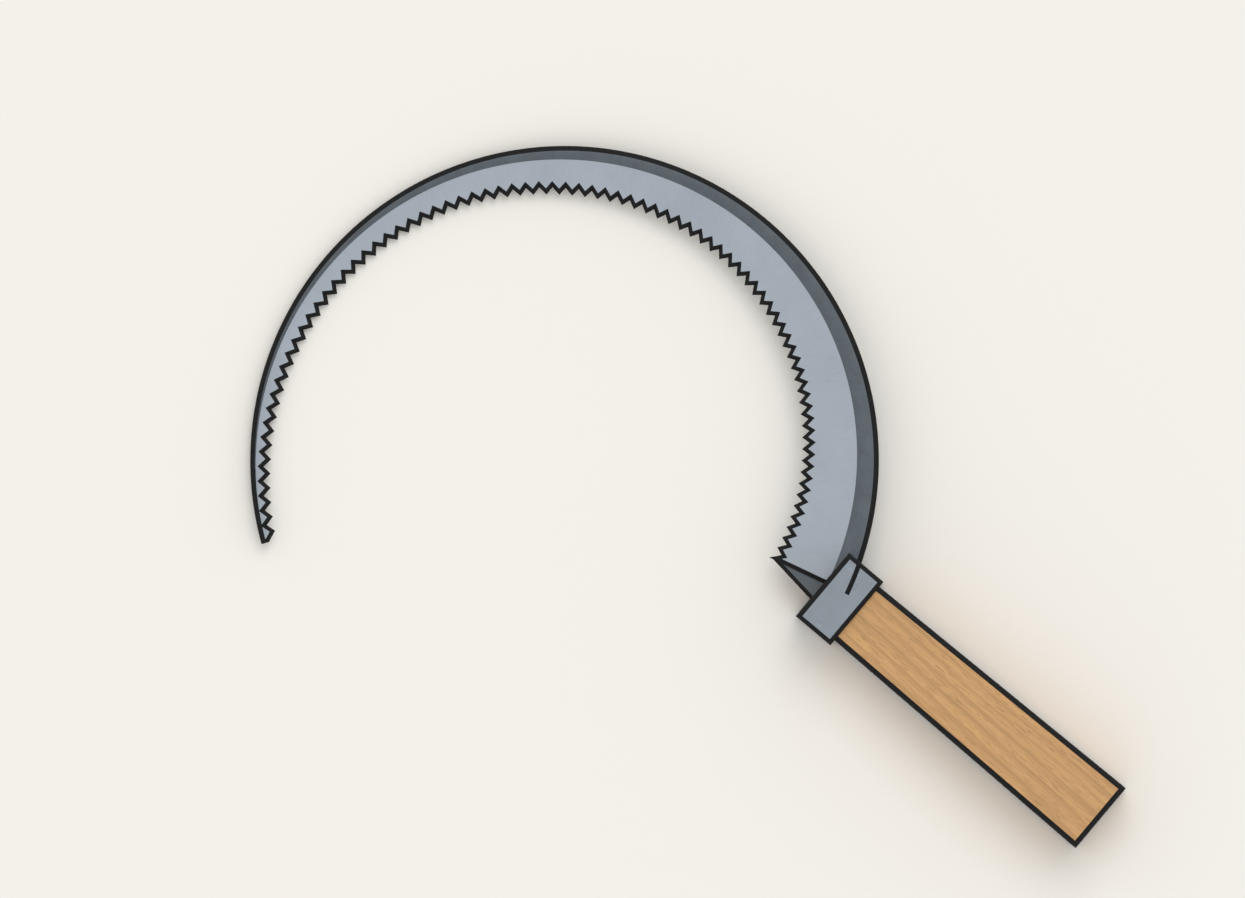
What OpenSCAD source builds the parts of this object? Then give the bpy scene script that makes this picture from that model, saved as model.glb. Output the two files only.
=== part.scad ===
// Serrated sickle, lying down as it rests on a bench. Millimetres.
// +X runs along the handle to its butt, +Y across it towards the back of the blade, +Z up.
// The origin is the middle of the collar's flat underside.

/* [Blade] */
// Radius of the back, which is one circular arc
blade_r = 132.3; // [115.3:1:150.3]
// Angle that the blade sweeps, from its heel to its point
blade_sweep = 220.8; // [205:0.2:230]
// Angle of the heel edge to the handle's axis
heel_angle = 14.6; // [12:0.2:17]
// Depth of the blade at the heel, from the back to the line of the tooth tips
heel_depth = 35.9; // [31:0.1:40]
// How far the heel's own tip stands out past that line
heel_spike = 1; // [0.4:0.1:2]
// Depth of the blade at its last tooth
point_depth = 6.9; // [6.6:0.1:9]
// Thickness of the blade
blade_t = 2.2; // [1.8:0.1:2.6]
// How far behind the collar's front the heel's corner lies
heel_inset = 11.4; // [10.8:0.1:12]
// Distance of the heel's corner from the handle's axis
heel_side = 3.7; // [3.2:0.1:4.4]
// Length of the blunt point past the last tooth
point_len = 4.2; // [3.4:0.1:5.5]
// Width of the blunt point at its end
point_w = 3.2; // [2.6:0.1:3.8]

/* [Teeth] */
// Number of teeth
tooth_count = 80; // [60:1:100]
// Depth of a tooth
tooth_depth = 3.1; // [2.5:0.1:3.4]
// Distance from the heel edge to where the line of the tooth tips starts, along the back
tooth_lead = 0.9; // [0.4:0.1:1.4]
// Width of the filed bevel on the teeth
bevel_w = 1.7; // [0.9:0.1:1.8]
// Width of the bevel along the heel edge
heel_edge_w = 1.7; // [0.8:0.1:1.8]
// Thickness left under the bevels, along the cutting edge
edge_t = 0.6; // [0.3:0.1:1]

/* [Back rib] */
// Width of the rib at the heel
rib_heel_w = 10.1; // [9:0.1:11]
// Width of the rib at the point
rib_point_w = 2.1; // [1.8:0.1:2.4]
// Angle before the point over which the rib keeps that width
rib_even = 10.5; // [4:0.5:20]
// Thickness of the rib
rib_t = 4.4; // [3.8:0.1:5]
// Thickness of the rib behind the blade's edge
rib_web = 1; // [0.8:0.1:1.2]
// Width of the chamfers along the rib's outer edge
rim_w = 1.4; // [1:0.1:1.5]
// Height of the chamfers along the rib's outer edge
rim_h = 0.9; // [0.5:0.1:1]

/* [Neck and tang] */
// Thickness of the neck plate under the blade
neck_t = 2.8; // [2.2:0.1:3.4]
// Distance of the neck's outer edge from the handle's axis, at the collar's front
neck_side = 7.9; // [7:0.1:9]
// Distance of the neck's tip from the heel's tip, along the heel edge
neck_lap = 1.8; // [0.6:0.1:3]
// Distance of the neck's bend into the tang, behind the heel's corner
bend_inset = 1.3; // [1.1:0.1:2]
// Diameter of the tang
tang_d = 7; // [6.4:0.2:8]
// Length over which the neck plate swells into the tang
root_len = 5; // [4.5:0.1:7]
// Diameter of the tang's hammered end
peen_d = 10.4; // [9:0.2:12]
// Height of the tang's hammered end
peen_h = 2; // [1.4:0.1:2.4]

/* [Rivets] */
// Diameter of a rivet
rivet_d = 3; // [2.4:0.1:3.4]
// Diameter of a rivet's head
rivet_head_d = 5.4; // [4.6:0.1:5.6]
// Height of a rivet's head
rivet_head_h = 1.3; // [0.9:0.1:1.6]
// Distance of the rivets behind the collar's front
rivet_inset = 5; // [4:0.1:5.4]
// Distance of the first rivet from the heel edge
rivet_edge = 3.5; // [3.5:0.1:3.7]
// Distance between the two rivets
rivet_pitch = 5.8; // [5.7:0.1:6]

/* [Collar] */
// Length of the collar
collar_len = 19; // [17:0.5:24]
// Thickness of the collar's wall
collar_wall = 2.6; // [2:0.1:3.2]
// Width of the chamfers on the collar's edges
collar_edge = 1.9; // [1:0.1:2.2]
// Width of the crease hammered into the collar's top over the rib
crease_w = 2; // [1:0.1:2.4]
// Depth of the crease
crease_deep = 0.6; // [0.3:0.1:1]

/* [Handle] */
// Length of the handle behind the collar
handle_len = 133.7; // [110:0.5:160]
// Width of the handle at the collar
front_w = 29.4; // [29:0.1:33]
// Thickness of the handle at the collar
front_t = 26; // [23:0.1:30]
// Width of the handle at the butt
butt_w = 32.9; // [29:0.1:38]
// Width of the chamfers along the handle's corners
arris_w = 2.3; // [1:0.1:2.6]
// How far the wood stands back inside the collar's front
nose_back = 1; // [0.5:0.1:2]

/* [Washer, pins and wedge] */
// Diameter of the washer under the tang's hammered end
washer_d = 16; // [13:0.5:20]
// Thickness of the washer
washer_t = 1.5; // [1:0.1:2]
// Depth of the washer's recess in the butt
recess_deep = 4.5; // [4.2:0.1:7]
// Diameter of the pins that hold the collar on the wood
pin_d = 2.2; // [1.8:0.1:2.8]
// Length of a pin
pin_len = 11; // [8:0.5:12]
// Diameter of a pin's sunk head
pin_head_d = 4.2; // [3.4:0.1:5]
// Distance of the pins in front of the collar's rear end
pin_inset = 4.2; // [3:0.1:5.2]
// Width of the wedge under the neck plate
wedge_w = 8.6; // [6:0.1:9]
// Thickness of the wedge at its driven end
wedge_t = 1.4; // [1.2:0.1:1.6]
// Thickness of the wedge at its thin end
wedge_tip_t = 0.7; // [0.5:0.1:1]

/* [Fits] */
// Clearance of the wood in the collar, on each side
wood_gap = 0.1; // [0.05:0.05:0.2]
// Clearance of the tang in its bore and washer, on the radius
tang_gap = 0.2; // [0.1:0.05:0.3]
// Clearance of a rivet or pin in its hole, on the radius
pin_gap = 0.05; // [0.05:0.01:0.1]
// Clearance of the rib's groove over the blade
groove_gap = 0.05; // [0.02:0.01:0.1]
// Clearance of the slots round the blade, the rib and the neck
slot_gap = 0.4; // [0.3:0.05:0.5]

/* [Hidden] */
$fn = 96;
// Steps round the blade's large circle
RING_FN = 360;

STEEL = [0.64, 0.675, 0.705];
IRON = [0.373, 0.4, 0.424];
COLLAR_IRON = [0.545, 0.576, 0.612];
WOOD = [0.769, 0.604, 0.424];
SPLIT_WOOD = [0.62, 0.45, 0.3];

// The collar and the handle along the axis
collar_front = -collar_len / 2;
collar_rear = collar_len / 2;
collar_w = front_w + 2 * (collar_wall + wood_gap);
collar_t = front_t + 2 * (collar_wall + wood_gap);
axis_z = collar_t / 2;
nose_x = collar_front + nose_back;
butt_x = collar_rear + handle_len;
// The butt is as thick as the collar, so that the handle lies level
butt_t = collar_t;

// The blade's circle, whose place follows from the heel's hidden corner
heel_corner = [collar_front + heel_inset, heel_side];
centre = heel_corner - polar(blade_r, heel_angle);
point_angle = heel_angle + blade_sweep;
last_tip_angle = point_angle - point_len / blade_r * 180 / PI;
first_angle = heel_angle + tooth_lead / blade_r * 180 / PI;
pitch_angle = (last_tip_angle - first_angle) / (tooth_count - 1);
heel_tip_r = blade_r - heel_depth - heel_spike;
web_edge_r = blade_r - rib_web - groove_gap;

// Levels in the blade's own plane, where 0 is the middle of the blade's thickness
neck_top = -blade_t / 2;
neck_bottom = neck_top - neck_t;
slot_top = rib_t / 2 + rivet_head_h + slot_gap;
slot_bottom = neck_bottom - max(rivet_head_h, wedge_t) - pin_gap;

// The bend where the neck plate meets the tang, just behind the heel's corner
bend_x = heel_corner[0] + bend_inset;
slot_end = bend_x + slot_gap;
// The neck plate runs on as a tongue, which ends inside the tang's swelling root
tongue_x = bend_x + root_len * 5 / 6;
tongue_half = tang_d / 2 - slot_gap;

// The blade is set down from the bend until the rib's far edge lies on the bench
rib_far = bend_x - (centre[0] - blade_r + rim_w);
rib_under = (blade_t + neck_t - rib_t) / 2;
set_down = asin(axis_z / norm([rib_far, rib_under])) + atan2(rib_under, rib_far);

// The neck plate's corners beside the rib and the rivets
neck_edge_y = front_w / 2 - slot_gap;
neck_fore_r = blade_r - rib_heel_w - slot_gap;
neck_fore_x = centre[0] + sqrt(pow(neck_fore_r, 2) - pow(neck_edge_y - centre[1], 2));
rivet_x = collar_front + rivet_inset;
rivet_y = heel_y(rivet_x) + rivet_edge;
washer_x = butt_x - recess_deep;
pin_x = collar_rear - pin_inset;

// Where the heel edge lies across the handle, at this place along it
function heel_y(x) = heel_corner[1] + (x - heel_corner[0]) * tan(heel_angle);

function polar(r, a) = r * [cos(a), sin(a)];
function mix(a, b, s) = a + (b - a) * s;
function right_of(v) = [v[1], -v[0]] / norm(v);

// Tooth tips and the valleys between them, about the blade's centre, counted from the heel
function tip_r(i) = blade_r - mix(heel_depth, point_depth, i / (tooth_count - 1));
function tip_angle(i) = first_angle + i * pitch_angle;
function tip(i) = polar(tip_r(i), tip_angle(i));
function valley(i) = polar(tip_r(i + 0.5) + tooth_depth, tip_angle(i + 0.5));

// The toothed edge from the heel's tip to the blunt point, and the angle of each of its points
edge_line = concat(
    [polar(heel_tip_r, heel_angle)],
    [for (i = [1:tooth_count - 1]) each [valley(i - 1), tip(i)]],
    [polar(blade_r - point_w, point_angle)]);
edge_angles = concat(
    [heel_angle],
    [for (i = [1:tooth_count - 1]) each [tip_angle(i - 0.5), tip_angle(i)]],
    [point_angle]);
edge_last = len(edge_line) - 1;

// Corners of the back, before and after the toothed edge, and the edge between them
heel_back = polar(web_edge_r, heel_angle);
point_back = polar(web_edge_r, point_angle);
around = concat([heel_back], edge_line, [point_back]);

// Width of the bevel on the stretch that ends at point k of the toothed edge
function edge_bevel(k) = k == 0 ? heel_edge_w : bevel_w;

// Where two stretches of a line meet once each has moved to its right by its own distance
function moved_corner(before, at, after, d1, d2) =
    let (n1 = right_of(at - before), n2 = right_of(after - at), turn = n1[0] * n2[1] - n1[1] * n2[0])
    at + [d1 * n2[1] - d2 * n1[1], d2 * n1[0] - d1 * n2[0]] / turn;

// The upper edge of the bevel, and the back's points above and below, one for each point
bevel_line = [for (k = [0:edge_last])
    moved_corner(around[k], around[k + 1], around[k + 2], edge_bevel(k), edge_bevel(k + 1))];
function ease(w) = w / web_edge_r * 180 / PI;
function back_top(k) = polar(web_edge_r,
    k == 0 ? heel_angle + ease(heel_edge_w)
    : k == edge_last ? point_angle - ease(bevel_w)
    : edge_angles[k]);

// The blade's cross-section at point k, from the back's underside round to its upper edge
function at_level(p, z) = [p[0], p[1], z];
function blade_section(k) =
    let (low = -blade_t / 2, mid = low + edge_t, back = polar(web_edge_r, edge_angles[k]))
    [at_level(back, low), at_level(edge_line[k], low), at_level(edge_line[k], mid),
     at_level(bevel_line[k], -low), at_level(back_top(k), -low), at_level(back, mid)];

// A closed solid through cross-sections of six points each, with two quads at either end
module skin(sections) {
    n = len(sections[0]);
    end = (len(sections) - 1) * n;
    polyhedron(
        points = [for (section = sections) each section],
        faces = concat(
            [[0, 1, 2], [0, 2, 5], [5, 2, 3], [5, 3, 4]],
            [for (f = [[0, 2, 1], [0, 5, 2], [5, 3, 2], [5, 4, 3]]) [for (v = f) end + v]],
            [for (k = [0:n:end - n], i = [0:n - 1])
                let (a = k + i, b = k + (i + 1) % n) each [[a, a + n, b + n], [a, b + n, b]]]));
}

// Places what lies in the blade's own plane
module in_blade_plane() {
    translate([bend_x, 0, axis_z])
        rotate([0, -set_down, 0])
            translate([-bend_x, 0, (blade_t + neck_t) / 2])
                children();
}

// Extrudes a section across the handle's axis, from x1 to x2
module along_axis(x1, x2) {
    translate([x1, 0, axis_z])
        rotate([90, 0, 90])
            linear_extrude(x2 - x1)
                children();
}

// A rod or cone on the handle's axis, from x1 to x2
module axis_rod(x1, x2, d1, d2) {
    translate([x1, 0, axis_z])
        rotate([0, 90, 0])
            cylinder(h = x2 - x1, d1 = d1, d2 = d2);
}

module axis_hole(x1, x2, d) {
    axis_rod(x1, x2, d, d);
}

// A rectangle with its corners cut off
module cut_rectangle(w, t, c) {
    x = w / 2;
    y = t / 2;
    polygon([[x - c, -y], [x, c - y], [x, y - c], [x - c, y],
             [c - x, y], [-x, y - c], [-x, c - y], [c - x, -y]]);
}

// Places what stands at each of the two rivets, in the blade's plane
module at_rivets() {
    for (i = [0, 1])
        translate([rivet_x, rivet_y + i * rivet_pitch, 0])
            children();
}

// Places what points inwards from either side of the collar, at its pins
module at_pins() {
    for (side = [-1, 1])
        translate([pin_x, side * collar_w / 2, axis_z])
            rotate([side * 90, 0, 0])
                children();
}

// A pin with its sunk head, or with a gap the hole that it fills
module pin(gap) {
    head_h = (pin_head_d - pin_d) / 2;
    cylinder(h = pin_len + gap, r = pin_d / 2 + gap);
    cylinder(h = head_h, r1 = pin_head_d / 2 + gap, r2 = pin_d / 2 + gap);
}

// The serrated crescent: flat below, filed to a bevel above, drilled for the rivets
module blade() {
    color(STEEL)
        in_blade_plane()
            difference() {
                translate(at_level(centre, 0))
                    skin([for (k = [0:edge_last]) blade_section(k)]);
                at_rivets()
                    cylinder(h = 2 * blade_t, d = rivet_d + 2 * pin_gap, center = true);
            }
}

// The rib's cross-section: a groove over the blade's edge and two chamfers outside
module rib_section() {
    inner = blade_r - rib_heel_w - rib_t;
    half = rib_t / 2;
    groove = blade_t / 2 + groove_gap;
    polygon([[inner, -half], [blade_r - rim_w, -half], [blade_r, rim_h - half],
             [blade_r, half - rim_h], [blade_r - rim_w, half], [inner, half],
             [inner, groove], [blade_r - rib_web, groove], [blade_r - rib_web, -groove],
             [inner, -groove]]);
}

// The rib in plan: it narrows steadily from the heel, and keeps its width near the point
module rib_plan() {
    step = blade_sweep / tooth_count;
    polygon(concat(
        [for (i = [0:tooth_count])
            let (s = min(1, i * step / (blade_sweep - rib_even)))
            polar(blade_r - mix(rib_heel_w, rib_point_w, s), heel_angle + i * step)],
        [for (i = [tooth_count:-1:0])
            polar(blade_r + rim_w, heel_angle + i * step)]));
}

module back_rib() {
    color(IRON)
        in_blade_plane()
            difference() {
                translate(at_level(centre, 0))
                    intersection() {
                        rotate_extrude($fn = RING_FN)
                            rib_section();
                        linear_extrude(2 * rib_t, center = true)
                            rib_plan();
                    }
                // The lower lip stops where the neck plate lies against the blade
                translate([neck_fore_x - slot_gap, -collar_w, -2 * rib_t])
                    cube([collar_len, 3 * collar_w, 2 * rib_t + neck_top]);
                at_rivets()
                    cylinder(h = 2 * rib_t, d = rivet_d + 2 * pin_gap, center = true);
            }
}

// The neck plate in plan: from the heel's tip it widens to the rivets, then narrows to the tang
module neck_plan() {
    polygon([
        centre + polar(heel_tip_r + neck_lap, heel_angle),
        [collar_front, -neck_side],
        [bend_x, -tongue_half],
        [tongue_x, slot_gap - tongue_half],
        [tongue_x, tongue_half - slot_gap],
        [bend_x, tongue_half],
        [rivet_x + rivet_d, neck_edge_y],
        [neck_fore_x, neck_edge_y]]);
}

// The neck plate and the tang are one forging, hammered over the washer at its far end
module tang() {
    color(IRON) {
        in_blade_plane()
            difference() {
                translate([0, 0, neck_bottom])
                    linear_extrude(neck_t)
                        neck_plan();
                at_rivets()
                    cylinder(h = 4 * neck_t, d = rivet_d + 2 * pin_gap, center = true);
            }
        axis_rod(bend_x, bend_x + root_len, neck_t, tang_d);
        axis_rod(bend_x + root_len, washer_x + washer_t, tang_d, tang_d);
        axis_rod(washer_x + washer_t, washer_x + washer_t + peen_h, peen_d, tang_d);
    }
}

module blade_rivets() {
    top = rib_t / 2;
    color(IRON)
        in_blade_plane()
            at_rivets() {
                translate([0, 0, neck_bottom])
                    cylinder(h = top - neck_bottom, d = rivet_d);
                translate([0, 0, top])
                    cylinder(h = rivet_head_h, d1 = rivet_head_d, d2 = rivet_d);
                translate([0, 0, neck_bottom - rivet_head_h])
                    cylinder(h = rivet_head_h, d1 = rivet_d, d2 = rivet_head_d);
            }
}

// The collar's outside, with its ends chamfered above and below
module collar_block() {
    intersection() {
        along_axis(collar_front, collar_rear)
            cut_rectangle(collar_w, collar_t, collar_edge);
        translate([0, collar_w, axis_z])
            rotate([90, 0, 0])
                linear_extrude(2 * collar_w)
                    cut_rectangle(collar_len, collar_t, collar_edge);
    }
}

// A crease along the rib's outer edge, from the heel's hidden corner to the collar's side
module crease() {
    translate(at_level(centre, collar_t - crease_deep))
        intersection() {
            difference() {
                cylinder(h = 2 * crease_deep, r = blade_r, $fn = RING_FN);
                translate([0, 0, -crease_deep])
                    cylinder(h = 4 * crease_deep, r = blade_r - crease_w, $fn = RING_FN);
            }
            rotate(heel_angle)
                translate([blade_r - 2 * collar_len, 0, 0])
                    cube([3 * collar_len, collar_w, 2 * crease_deep]);
        }
}

// The way through the collar's side for the blade and the rib
module blade_way() {
    half = rib_t / 2 + slot_gap;
    in_blade_plane()
        intersection() {
            translate(at_level(centre, -half))
                cylinder(h = 2 * half, r = blade_r + slot_gap, $fn = RING_FN);
            translate([-collar_len, front_w / 4, -half])
                cube([2 * collar_len, collar_w, 2 * half]);
        }
}

module collar() {
    color(COLLAR_IRON)
        difference() {
            collar_block();
            along_axis(2 * collar_front, 2 * collar_rear)
                cut_rectangle(front_w + 2 * wood_gap, front_t + 2 * wood_gap, arris_w);
            crease();
            blade_way();
            at_pins()
                pin(pin_gap);
        }
}

module collar_pins() {
    color(COLLAR_IRON)
        at_pins()
            pin(0);
}

// The wood behind the collar: it widens steadily, and its butt is eased above and below
module grip() {
    slice = 0.01;
    hull() {
        along_axis(collar_rear, collar_rear + slice)
            cut_rectangle(front_w, front_t, arris_w);
        along_axis(butt_x - arris_w, butt_x - arris_w + slice)
            cut_rectangle(butt_w, butt_t, arris_w);
        along_axis(butt_x - slice, butt_x)
            cut_rectangle(butt_w, butt_t - 2 * arris_w, arris_w / 2);
    }
}

// A slot in the wood from side y on, between two levels, open in front and at the blade's side
module slot(y, low, high) {
    in_blade_plane()
        translate([-collar_len, y - slot_gap, low])
            cube([collar_len + slot_end, collar_w + neck_side, high - low]);
}

module handle() {
    color(WOOD)
        difference() {
            union() {
                grip();
                along_axis(nose_x, collar_rear + arris_w)
                    cut_rectangle(front_w, front_t, arris_w);
            }
            // The neck, the wedge and the rivets lie in a wide slot, the blade and the rib above it
            slot(-neck_side, slot_bottom, neck_top + slot_gap);
            slot(heel_y(nose_x), neck_top, slot_top);
            axis_hole(0, butt_x + recess_deep, tang_d + 2 * tang_gap);
            axis_hole(washer_x, butt_x + recess_deep, washer_d + 2 * slot_gap);
            at_pins()
                pin(pin_gap);
        }
}

module tang_washer() {
    color(COLLAR_IRON)
        difference() {
            axis_rod(washer_x, washer_x + washer_t, washer_d, washer_d);
            axis_hole(washer_x - washer_t, washer_x + 2 * washer_t, tang_d + 2 * tang_gap);
        }
}

// The wedge is driven in from the front, under the neck plate and beside the rivets' heads
module neck_wedge() {
    side = rivet_y - rivet_head_d / 2 - slot_gap;
    end = heel_corner[0];
    color(SPLIT_WOOD)
        in_blade_plane()
            translate([0, side, neck_bottom])
                rotate([90, 0, 0])
                    linear_extrude(wedge_w)
                        polygon([[nose_x, 0], [nose_x, -wedge_t], [end, -wedge_tip_t], [end, 0]]);
}

blade();
back_rib();
tang();
blade_rivets();
collar();
collar_pins();
handle();
tang_washer();
neck_wedge();
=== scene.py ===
"""Serrated sickle: the looks of its pieces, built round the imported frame. Metres, +Z up."""

from math import asin, atan2, cos, hypot, pi, radians, sin, sqrt, tan

import bmesh
import bpy
from bpy.props import FloatProperty, FloatVectorProperty, IntProperty, PointerProperty
from mathutils import Matrix, Vector
from mathutils.noise import noise as unevenness


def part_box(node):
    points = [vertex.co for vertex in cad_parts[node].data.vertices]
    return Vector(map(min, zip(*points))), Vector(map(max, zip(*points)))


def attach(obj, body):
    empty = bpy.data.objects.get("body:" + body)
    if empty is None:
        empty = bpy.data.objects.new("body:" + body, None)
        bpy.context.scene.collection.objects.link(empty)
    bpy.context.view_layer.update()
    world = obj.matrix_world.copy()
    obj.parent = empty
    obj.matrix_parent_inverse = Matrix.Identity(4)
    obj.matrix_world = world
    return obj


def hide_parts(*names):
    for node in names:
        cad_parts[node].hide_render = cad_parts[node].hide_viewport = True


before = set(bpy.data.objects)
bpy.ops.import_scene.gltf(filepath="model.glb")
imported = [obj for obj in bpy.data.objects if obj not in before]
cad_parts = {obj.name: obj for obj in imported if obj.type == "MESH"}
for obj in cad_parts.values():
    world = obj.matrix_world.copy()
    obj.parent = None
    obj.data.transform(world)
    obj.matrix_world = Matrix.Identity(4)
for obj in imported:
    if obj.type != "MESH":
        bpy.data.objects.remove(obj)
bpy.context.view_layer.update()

bl_info = {
    "name": "Serrated Sickle",
    "version": (1, 0, 0),
    "blender": (4, 5, 0),
    "location": "3D View > Sidebar > Sickle",
    "description": "Builds the visible pieces of a serrated sickle round its packed frame",
    "category": "Object",
}

MM = 0.001
COLLAR_LOW, COLLAR_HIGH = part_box("collar")
HANDLE_LOW, HANDLE_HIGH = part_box("handle")
WASHER_LOW, WASHER_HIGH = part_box("tang_washer")
PINS_LOW, PINS_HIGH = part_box("collar_pins")
BODY = "root"

# Faces across each quarter turn of a rounded edge
EDGE_STEPS = 4
# How far a cutting shape reaches past what it cuts
CUT_OVER = 5 * MM


def length(name, description, millimetres):
    """A length of the object, given in millimetres and kept in metres."""
    return FloatProperty(name=name, description=description, default=millimetres * MM,
                         min=0.0, unit="LENGTH", precision=5)


def turn(name, description, degrees):
    """An angle of the object."""
    return FloatProperty(name=name, description=description, default=radians(degrees),
                         unit="ROTATION")


def colour(name, description, red, green, blue):
    """A colour as a screen shows it, in 255ths."""
    return FloatVectorProperty(name=name, description=description, subtype="COLOR_GAMMA",
                               size=3, min=0.0, max=1.0,
                               default=(red / 255, green / 255, blue / 255))


class SickleSizes(bpy.types.PropertyGroup):
    """Sizes of the sickle's pieces"""

    back_radius: length("Back radius", "Radius of the blade's round back", 132.3)
    sweep: turn("Sweep", "Angle that the blade sweeps from heel to point", 220.8)
    heel_angle: turn("Heel angle", "Angle of the heel edge to the handle's axis", 14.6)
    heel_depth: length("Heel depth", "Depth of the line of the teeth at the heel", 35.9)
    heel_spike: length("Heel spike", "How far the heel's tip stands out past that line", 1.0)
    point_depth: length("Point depth", "Depth of the blade at its last tooth", 6.9)
    blade_thickness: length("Blade thickness", "Thickness of the blade", 2.2)
    edge_thickness: length("Edge thickness", "Thickness left under the bevels", 0.6)
    heel_inset: length("Heel inset", "Heel corner's place behind the collar's front", 11.4)
    heel_side: length("Heel side", "Heel corner's distance from the handle's axis", 3.7)
    point_length: length("Point length", "Length of the point past the last tooth", 4.2)
    point_width: length("Point width", "Width of the point at its end", 3.2)
    teeth: IntProperty(name="Teeth", description="Number of teeth", default=80, min=3)
    tooth_depth: length("Tooth depth", "Depth of a tooth", 3.1)
    tooth_lead: length("Tooth lead", "Start of the line of teeth, from the heel edge", 0.9)
    tooth_bevel: length("Tooth bevel", "Width of the bevel on the teeth", 1.7)
    heel_bevel: length("Heel bevel", "Width of the bevel along the heel edge", 1.7)
    rib_heel_width: length("Rib width at heel", "Width of the back rib at the heel", 10.1)
    rib_point_width: length("Rib width at point", "Width of the back rib at the point", 2.1)
    rib_even: turn("Rib even", "Angle before the point over which the rib keeps its width", 10.5)
    rib_thickness: length("Rib thickness", "Thickness of the back rib", 4.4)
    rib_web: length("Rib web", "Thickness of the rib behind the blade's edge", 1.0)
    rib_slope: length("Rib slope", "Width of the slope from the rib to the blade", 2.5)
    rib_foot: length("Rib foot", "Inset of the line that the rib's far edge rests on", 1.4)
    rim_width: length("Rim width", "Width of the dark rounding on the rib's edge", 2.05)
    rim_height: length("Rim height", "Height of the rounding on the rib's edge", 0.9)
    groove_gap: length("Groove gap", "Clearance of the rib over the blade", 0.05)
    neck_thickness: length("Neck thickness", "Thickness of the neck plate", 2.8)
    neck_side: length("Neck side", "Neck's outer edge at the collar's front", 7.9)
    neck_lap: length("Neck lap", "Distance of the neck's tip from the heel's tip", 1.8)
    neck_edge: length("Neck edge", "Width of the neck's dark outer edge", 1.7)
    bend_inset: length("Bend inset", "Neck's bend behind the heel's corner", 1.3)
    rivet_shoulder: length("Rivet shoulder", "Where the neck narrows behind its rivets", 8.0)
    tang_diameter: length("Tang diameter", "Diameter of the tang", 7.0)
    root_length: length("Root length", "Length over which the neck swells to the tang", 5.0)
    peen_diameter: length("Peen diameter", "Diameter of the tang's hammered end", 10.4)
    peen_height: length("Peen height", "Height of the tang's hammered end", 2.0)
    collar_edge: length("Collar edge", "Width of the collar's dark edges", 1.9)
    front_edge: length("Front edge", "Width of the dark edge at the collar's front", 2.1)
    crease_depth: length("Crease depth", "Depth of the crease in the collar", 0.6)
    crease_width: length("Crease width", "Width of the crease in the collar", 2.0)
    handle_edge: length("Handle edge", "Width of the handle's dark edges", 2.3)
    front_width: length("Front width", "Width of the handle at the collar", 29.4)
    front_thickness: length("Front thickness", "Thickness of the handle at the collar", 26.0)
    rivet_head: length("Rivet head", "Height of a rivet's head", 1.3)
    wedge_thickness: length("Wedge thickness", "Thickness of the wedge under the neck", 1.4)
    pin_diameter: length("Pin diameter", "Diameter of the collar's pins", 2.2)
    pin_length: length("Pin length", "Length of the collar's pins", 11.0)
    slot_gap: length("Slot gap", "Clearance round the blade, rib and neck", 0.4)
    wood_gap: length("Wood gap", "Clearance of the wood in the collar", 0.1)
    tang_gap: length("Tang gap", "Clearance of the tang in its bore", 0.2)
    pin_gap: length("Pin gap", "Clearance of a pin in its hole", 0.05)


class SickleColours(bpy.types.PropertyGroup):
    """Colours of the sickle's finishes and of the stage. Gloss adds a little light to steel"""

    ground_steel: colour("Ground steel", "The blade's face", 156, 165, 176)
    dark_iron: colour("Dark iron", "The rib and the neck", 91, 99, 106)
    collar_steel: colour("Collar steel", "The collar, its pins and the washer", 136, 145, 155)
    # Black on the edges, bevels, crease and pin holes: the blackening that scale and handling
    # give, and painted shade where those surfaces turn from the light
    black_edge: colour("Black edge", "The blackened edges", 31, 31, 32)
    wood: colour("Wood", "The handle", 196, 153, 105)
    split_wood: colour("Split wood", "The wedge", 158, 115, 77)
    floor: colour("Floor", "The floor and what lies behind it", 244, 241, 234)


class SickleStage(bpy.types.PropertyGroup):
    """The camera, the light and the floor"""

    view_centre: FloatVectorProperty(
        name="View centre", description="Middle of the picture, on the reference plane",
        default=(-0.1104, -0.01033, 0.015), subtype="XYZ", unit="LENGTH", precision=5)
    view_turn: turn("View turn", "Turn of the picture about the vertical", 40.0)
    view_width: length("View width", "Width of the picture on the reference plane", 523.4)
    view_height: length("View height", "Height of the camera over that plane", 16000.0)
    world_strength: FloatProperty(name="World strength", description="Light from all round",
                                  default=0.8, min=0.0)
    key_strength: FloatProperty(name="Key strength", description="Strength of the soft key light",
                                default=0.76, min=0.0)
    key_spread: turn("Key spread", "Angle over which the key light is spread", 40.0)
    key_from: FloatVectorProperty(name="Key from", description="Direction of the key light",
                                  default=(-0.27, 0.49, 0.83), subtype="DIRECTION")


def linear(shade):
    """A screen colour as the linear colour that a shader takes, with an alpha of 1."""
    return tuple(c / 12.92 if c <= 0.04045 else ((c + 0.055) / 1.055) ** 2.4
                 for c in shade) + (1.0,)


def mix(a, b, share):
    return a + (b - a) * share


def polar(radius, angle):
    return Vector((radius * cos(angle), radius * sin(angle), 0.0))


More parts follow.
